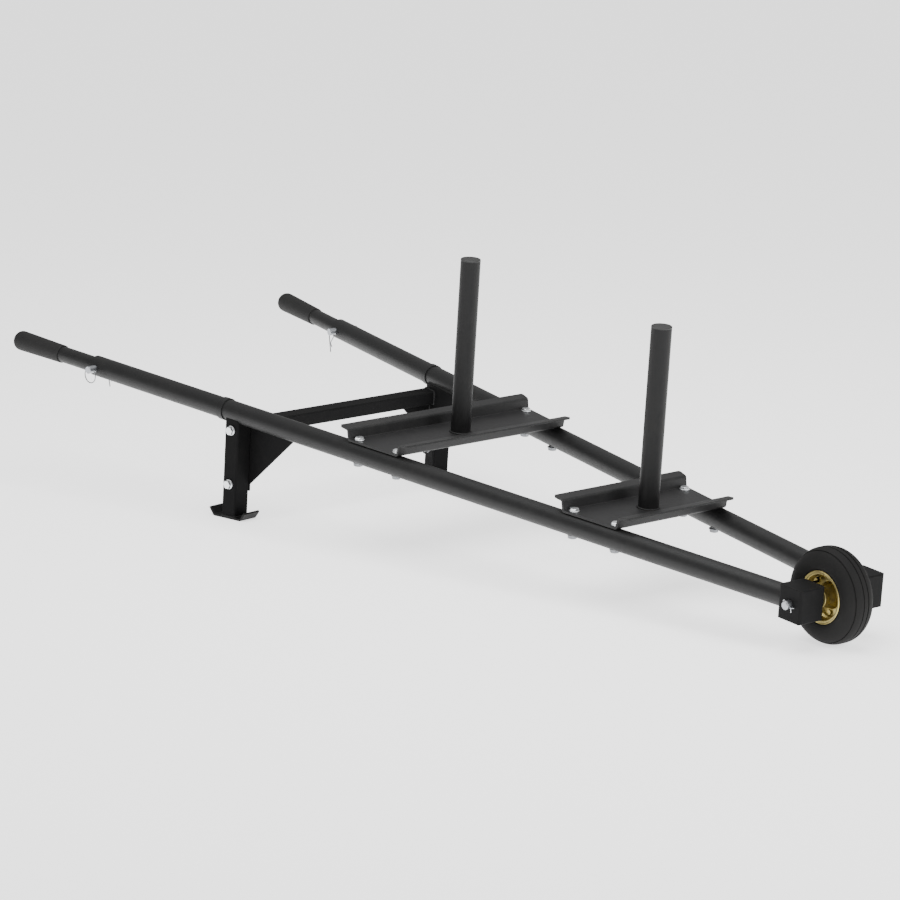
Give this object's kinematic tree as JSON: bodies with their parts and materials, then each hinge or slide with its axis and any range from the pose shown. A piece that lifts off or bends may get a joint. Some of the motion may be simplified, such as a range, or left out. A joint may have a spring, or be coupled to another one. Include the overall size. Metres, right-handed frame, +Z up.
{
  "type": "plate-loaded wheelbarrow",
  "caption": "Wheelbarrow for strength training: two round rails in a V from rubber grips to a small tyred wheel, with plate-loading posts on bolted trays and square legs",
  "frame": {"origin": "on the ground, below the middle of the barrow's overall length and width", "axes": "+X forward from the grips to the wheel, +Y to the operator's left, +Z up"},
  "size_m": [2.6336, 0.892, 0.6764],
  "materials": {
    "frame_paint": "semi-gloss black powder coat, welded and ground tube",
    "tray_paint": "semi-gloss black powder coat on bent plate",
    "zinc": "bright zinc plate",
    "gold_zinc": "yellow zinc plate on pressed steel",
    "grip_rubber": "matte black moulded rubber",
    "tyre_rubber": "matte black ribbed tyre rubber",
    "cap_plastic": "black moulded plastic",
    "bearing_steel": "ground bearing steel"
  },
  "bodies": {
    "frame": {"left_rail": "frame_paint", "right_rail": "frame_paint", "left_ferrule": "frame_paint", "right_ferrule": "frame_paint", "left_handle": "frame_paint", "right_handle": "frame_paint", "left_grip": "grip_rubber", "right_grip": "grip_rubber", "left_lock_pin": "zinc", "right_lock_pin": "zinc", "left_leg": "frame_paint", "right_leg": "frame_paint", "left_foot": "frame_paint", "right_foot": "frame_paint", "left_gusset": "frame_paint", "right_gusset": "frame_paint", "left_brace": "frame_paint", "right_brace": "frame_paint", "cross_member": "frame_paint", "leg_bolts": "zinc", "leg_nuts": "zinc", "rear_tray": "tray_paint", "front_tray": "tray_paint", "rear_post": "frame_paint", "front_post": "frame_paint", "rear_post_cap": "cap_plastic", "front_post_cap": "cap_plastic", "tray_bolts": "zinc", "tray_nuts": "zinc", "left_axle_box": "frame_paint", "right_axle_box": "frame_paint", "axle": "zinc", "axle_spacers": "zinc", "hub_sleeve": "zinc", "bearing_inner_rings": "bearing_steel", "split_pins": "zinc"},
    "wheel": {"tyre": "tyre_rubber", "inner_tube": "tyre_rubber", "left_rim": "gold_zinc", "right_rim": "gold_zinc", "rim_bolts": "zinc", "rim_nuts": "zinc", "valve_stem": "tyre_rubber", "bearing_outer_rings": "bearing_steel", "bearing_balls": "bearing_steel"},
    "left_pull_ring": {"left_pull_ring": "zinc"},
    "right_pull_ring": {"right_pull_ring": "zinc"},
    "left_hairpin": {"left_hairpin": "zinc"},
    "right_hairpin": {"right_hairpin": "zinc"}
  },
  "joints": [
    {"name": "wheel_spin", "type": "hinge", "parent": "frame", "child": "wheel", "pos_m": [1.20984, 0, 0.107], "axis": [0, 1, 0], "continuous": true},
    {"name": "left_ring_swing", "type": "hinge", "parent": "frame", "child": "left_pull_ring", "pos_m": [-0.99437, 0.41255, 0.30758], "axis": [0.9871, -0.1323, -0.0898], "range_deg": [-31, 211]},
    {"name": "right_ring_swing", "type": "hinge", "parent": "frame", "child": "right_pull_ring", "pos_m": [-0.99345, -0.41949, 0.3075], "axis": [-0.9871, -0.1323, 0.0898], "range_deg": [-45, 225]},
    {"name": "left_hairpin_swing", "type": "hinge", "parent": "frame", "child": "left_hairpin", "pos_m": [-1.0032, 0.34614, 0.30839], "axis": [-0.9871, 0.1323, 0.0898], "range_deg": [-38, 218]},
    {"name": "right_hairpin_swing", "type": "hinge", "parent": "frame", "child": "right_hairpin", "pos_m": [-1.00227, -0.35308, 0.3083], "axis": [0.9871, 0.1323, -0.0898], "range_deg": [-14, 194]}
  ]
}
